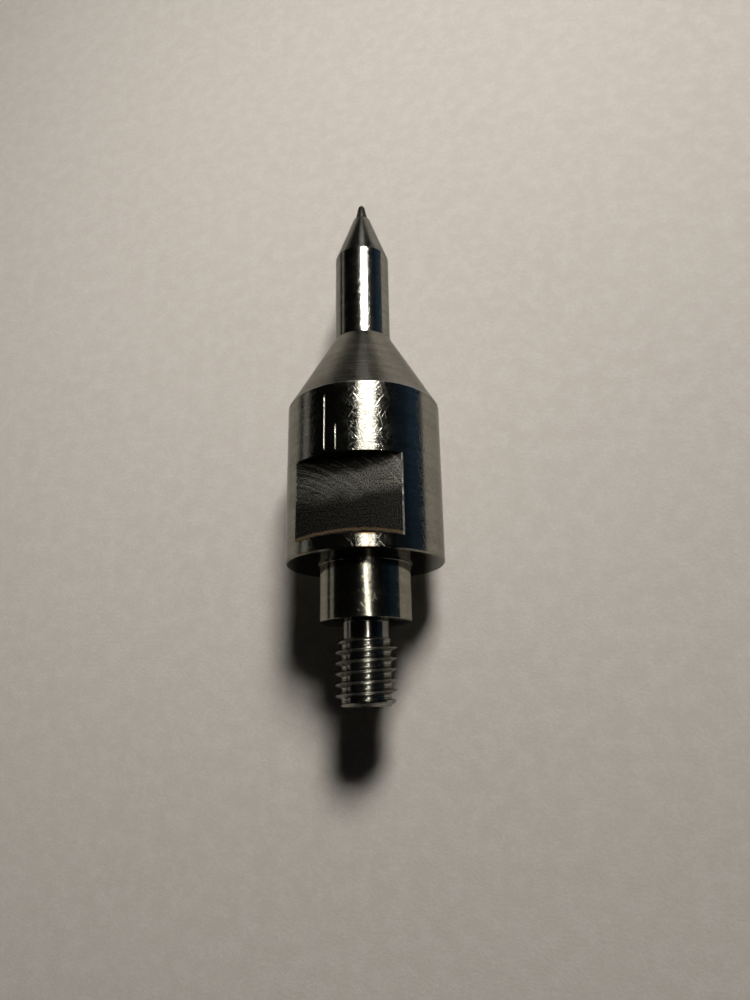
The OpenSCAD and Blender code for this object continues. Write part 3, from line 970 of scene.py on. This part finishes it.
def area_light(name, at, target, wide, long, radiance, colour):
    """A soft light of that size in millimetres, as bright as radiance says at its face."""
    data = bpy.data.lights.new(name, "AREA")
    data.shape = "RECTANGLE"
    data.size = wide * MM
    data.size_y = long * MM
    data.energy = radiance * math.pi * wide * long * MM * MM
    data.color = colour
    light = bpy.data.objects.new(name, data)
    bpy.context.scene.collection.objects.link(light)
    aim(light, at, target)
    light.visible_camera = False
    return light


WARM_WHITE = (1.0, 0.97, 0.90)
BODY_MIDDLE = (2, 8, 0)


def make_lights():
    """One lamp lights the paper. The others are only what the steel mirrors."""
    glows = (
        area_light("ceiling_strip", at=(30, 184, 300), target=BODY_MIDDLE, wide=134, long=250,
                   radiance=3.3, colour=WARM_WHITE),
        area_light("ceiling_patch", at=(24, 38, 300), target=BODY_MIDDLE, wide=108, long=24,
                   radiance=7.5, colour=WARM_WHITE),
        area_light("rear_patch", at=(44, -8, 300), target=BODY_MIDDLE, wide=64, long=40,
                   radiance=3.6, colour=WARM_WHITE),
        area_light("far_wall", at=(4, 420, 130), target=(0, 20, 0), wide=80, long=200,
                   radiance=0.6, colour=WARM_WHITE),
        area_light("left_wall", at=(-75, 30, 0), target=(0, 30, 0), wide=300, long=16,
                   radiance=0.29, colour=WARM_WHITE),
    )
    for glow in glows:
        glow.visible_diffuse = False
    lamp = area_light("ceiling_lamp", at=(27, 165, 210), target=(-32, 28, 0), wide=66, long=66,
                      radiance=14.6, colour=(1.0, 0.975, 0.94))
    lamp.data.spread = math.radians(105)


def make_side_card():
    """A dim blue card to the right, which only the steel's reflections see. It is brightest low
    down and towards the point."""
    finish, sheet, shader = new_finish("dim_blue_card", metallic=0.0)
    shader.inputs["Base Color"].default_value = (0, 0, 0, 1)
    point = sheet.add("ShaderNodeTexCoord").outputs["Object"]
    split = sheet.add("ShaderNodeSeparateXYZ", {0: point}).outputs
    nearer_tip = sheet.between(split[1], -10 * MM, 60 * MM, 0.35, 1.0)
    low_band = sheet.between(split[2], 16 * MM, 6 * MM, 0.3, 1.0)
    off_floor = sheet.between(split[2], -8 * MM, -4 * MM, 0.2, 1.0)
    glow = many(sheet, "MULTIPLY", (nearer_tip, low_band, off_floor))
    sheet.put(sheet.colours(glow, (0, 0, 0, 1), (0.22, 0.55, 1.0, 1)), shader.inputs["Emission Color"])
    shader.inputs["Emission Strength"].default_value = 0.10
    card_x, card_top, rear, front = 38, 27, -40, 110
    mesh = bpy.data.meshes.new("blue_card")
    corners = [
        spot(card_x, rear, FLOOR_Z), spot(card_x, front, FLOOR_Z),
        spot(card_x, front, card_top), spot(card_x, rear, card_top),
    ]
    mesh.from_pydata(corners, [], [(0, 1, 2, 3)])
    mesh.materials.append(finish)
    card = bpy.data.objects.new("blue_card", mesh)
    bpy.context.scene.collection.objects.link(card)
    for seen_by in ("visible_camera", "visible_diffuse", "visible_shadow", "visible_transmission"):
        setattr(card, seen_by, False)


def make_room():
    """Near-dark surroundings, which the steel mirrors as black."""
    world = bpy.data.worlds.new("dim_room")
    world.use_nodes = True
    background = world.node_tree.nodes["Background"]
    background.inputs["Color"].default_value = (1.0, 0.97, 0.92, 1)
    background.inputs["Strength"].default_value = 0.004
    bpy.context.scene.world = world


def make_camera():
    data = bpy.data.cameras.new("overhead_camera")
    data.lens = 24.98
    data.sensor_width = 36
    data.clip_start = 1 * MM
    data.clip_end = 5
    camera = bpy.data.objects.new("overhead_camera", data)
    bpy.context.scene.collection.objects.link(camera)
    aim(camera, CAMERA_AT, CAMERA_AIM)
    camera.matrix_world = camera.matrix_world @ Matrix.Rotation(CAMERA_ROLL, 4, "Z")
    bpy.context.scene.camera = camera


make_paper()
make_lights()
make_side_card()
make_room()
make_camera()
bpy.context.scene.view_settings.view_transform = "Standard"

bpy.context.view_layer.update()
